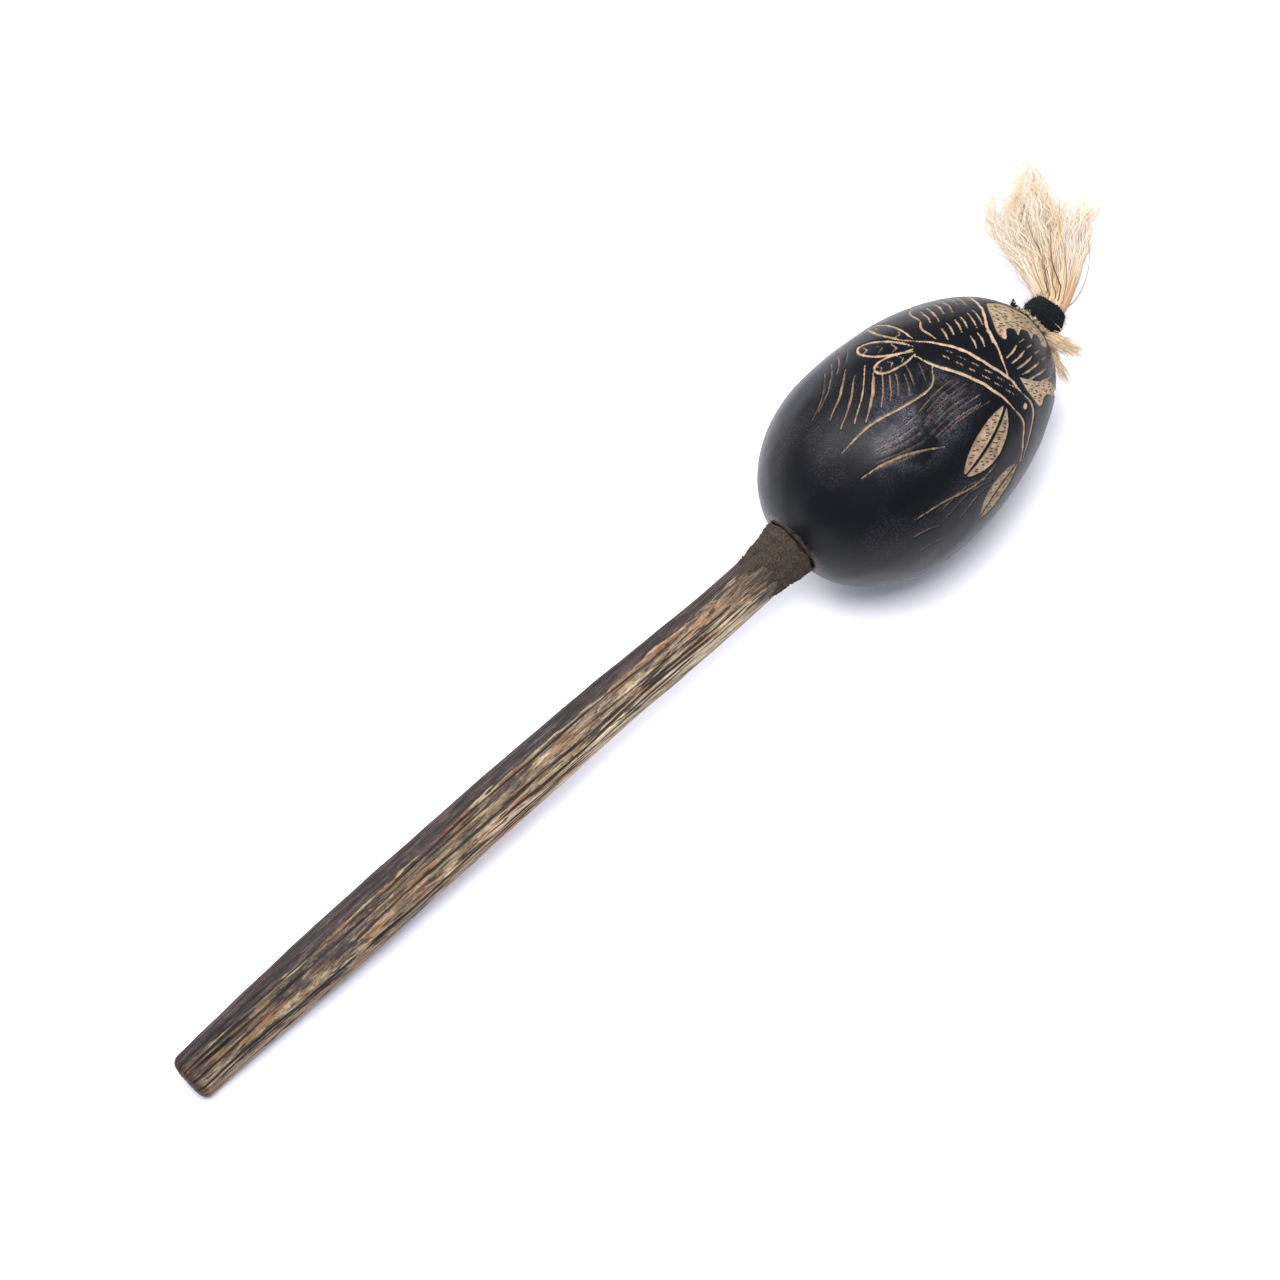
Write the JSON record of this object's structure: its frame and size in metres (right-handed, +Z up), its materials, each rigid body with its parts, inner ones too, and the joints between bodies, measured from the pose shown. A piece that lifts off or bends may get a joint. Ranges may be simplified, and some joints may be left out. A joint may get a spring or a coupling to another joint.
{
  "type": "gourd rattle",
  "caption": "Hand rattle: a dark engraved gourd with loose seeds inside, glued on a whittled palm-wood handle, with a yarn-bound tuft of pale fibre at its tip.",
  "frame": {"origin": "on the table under the middle of the whole rattle, lying on its gourd and the handle's butt", "axes": "+X from the handle's butt to the gourd's tip, +Y to the side the tuft leans to, +Z up"},
  "size_m": [0.4084, 0.0822, 0.0756],
  "materials": {
    "gourd": "satin",
    "palm_wood": "matte",
    "glue": "matte",
    "pale_glue": "matte",
    "fibre": "matte",
    "yarn": "matte",
    "seed": "satin"
  },
  "bodies": {
    "rattle": {"gourd_shell": "gourd", "palm_wood_handle": "palm_wood", "handle_glue_collar": "glue", "tip_glue_ring": "pale_glue", "fibre_root": "fibre", "yarn_binding": "yarn", "tie_strand": "fibre", "fibre_lock_long": "fibre", "fibre_lock_short": "fibre", "yarn_tail": "yarn"},
    "tuft_flex": {"tuft_neck": "fibre"},
    "tuft": {"fibre_tuft": "fibre"},
    "seed_01": {"seed_01": "seed"},
    "seed_02": {"seed_02": "seed"},
    "seed_03": {"seed_03": "seed"},
    "seed_04": {"seed_04": "seed"},
    "seed_05": {"seed_05": "seed"},
    "seed_06": {"seed_06": "seed"},
    "seed_07": {"seed_07": "seed"},
    "seed_08": {"seed_08": "seed"},
    "seed_09": {"seed_09": "seed"},
    "seed_10": {"seed_10": "seed"},
    "seed_11": {"seed_11": "seed"},
    "seed_12": {"seed_12": "seed"},
    "seed_13": {"seed_13": "seed"},
    "seed_14": {"seed_14": "seed"},
    "seed_15": {"seed_15": "seed"},
    "seed_16": {"seed_16": "seed"},
    "seed_17": {"seed_17": "seed"},
    "seed_18": {"seed_18": "seed"},
    "seed_19": {"seed_19": "seed"},
    "seed_20": {"seed_20": "seed"},
    "seed_21": {"seed_21": "seed"},
    "seed_22": {"seed_22": "seed"},
    "seed_23": {"seed_23": "seed"},
    "seed_24": {"seed_24": "seed"}
  },
  "joints": [
    {"name": "tuft_sway", "type": "hinge", "parent": "tuft_flex", "child": "tuft", "pos_m": [0.17244, -0.00318, 0.04536], "axis": [-0.1014, 0, 0.9948], "range_deg": [-90, 8]},
    {"name": "tuft_nod", "type": "hinge", "parent": "rattle", "child": "tuft_flex", "pos_m": [0.17244, -0.00318, 0.04536], "axis": [0.1728, -0.9848, 0.0176], "range_deg": [-25, 25]},
    {"name": "seed_01_hop", "type": "slide", "parent": "rattle", "child": "seed_01", "axis": [0, 0, 1], "range_m": [0, 0.0599]},
    {"name": "seed_02_hop", "type": "slide", "parent": "rattle", "child": "seed_02", "axis": [0, 0, 1], "range_m": [0, 0.0609]},
    {"name": "seed_03_hop", "type": "slide", "parent": "rattle", "child": "seed_03", "axis": [0, 0, 1], "range_m": [0, 0.0598]},
    {"name": "seed_04_hop", "type": "slide", "parent": "rattle", "child": "seed_04", "axis": [0, 0, 1], "range_m": [0, 0.059]},
    {"name": "seed_05_hop", "type": "slide", "parent": "rattle", "child": "seed_05", "axis": [0, 0, 1], "range_m": [0, 0.0616]},
    {"name": "seed_06_hop", "type": "slide", "parent": "rattle", "child": "seed_06", "axis": [0, 0, 1], "range_m": [0, 0.0584]},
    {"name": "seed_07_hop", "type": "slide", "parent": "rattle", "child": "seed_07", "axis": [0, 0, 1], "range_m": [0, 0.0594]},
    {"name": "seed_08_hop", "type": "slide", "parent": "rattle", "child": "seed_08", "axis": [0, 0, 1], "range_m": [0, 0.0597]},
    {"name": "seed_09_hop", "type": "slide", "parent": "rattle", "child": "seed_09", "axis": [0, 0, 1], "range_m": [0, 0.0578]},
    {"name": "seed_10_hop", "type": "slide", "parent": "rattle", "child": "seed_10", "axis": [0, 0, 1], "range_m": [0, 0.0614]},
    {"name": "seed_11_hop", "type": "slide", "parent": "rattle", "child": "seed_11", "axis": [0, 0, 1], "range_m": [0, 0.0564]},
    {"name": "seed_12_hop", "type": "slide", "parent": "rattle", "child": "seed_12", "axis": [0, 0, 1], "range_m": [0, 0.0558]},
    {"name": "seed_13_hop", "type": "slide", "parent": "rattle", "child": "seed_13", "axis": [0, 0, 1], "range_m": [0, 0.061]},
    {"name": "seed_14_hop", "type": "slide", "parent": "rattle", "child": "seed_14", "axis": [0, 0, 1], "range_m": [0, 0.0569]},
    {"name": "seed_15_hop", "type": "slide", "parent": "rattle", "child": "seed_15", "axis": [0, 0, 1], "range_m": [0, 0.0582]},
    {"name": "seed_16_hop", "type": "slide", "parent": "rattle", "child": "seed_16", "axis": [0, 0, 1], "range_m": [0, 0.0545]},
    {"name": "seed_17_hop", "type": "slide", "parent": "rattle", "child": "seed_17", "axis": [0, 0, 1], "range_m": [0, 0.0547]},
    {"name": "seed_18_hop", "type": "slide", "parent": "rattle", "child": "seed_18", "axis": [0, 0, 1], "range_m": [0, 0.0617]},
    {"name": "seed_19_hop", "type": "slide", "parent": "rattle", "child": "seed_19", "axis": [0, 0, 1], "range_m": [0, 0.0534]},
    {"name": "seed_20_hop", "type": "slide", "parent": "rattle", "child": "seed_20", "axis": [0, 0, 1], "range_m": [0, 0.0518]},
    {"name": "seed_21_hop", "type": "slide", "parent": "rattle", "child": "seed_21", "axis": [0, 0, 1], "range_m": [0, 0.0569]},
    {"name": "seed_22_hop", "type": "slide", "parent": "rattle", "child": "seed_22", "axis": [0, 0, 1], "range_m": [0, 0.0552]},
    {"name": "seed_23_hop", "type": "slide", "parent": "rattle", "child": "seed_23", "axis": [0, 0, 1], "range_m": [0, 0.059]},
    {"name": "seed_24_hop", "type": "slide", "parent": "rattle", "child": "seed_24", "axis": [0, 0, 1], "range_m": [0, 0.0486]}
  ]
}
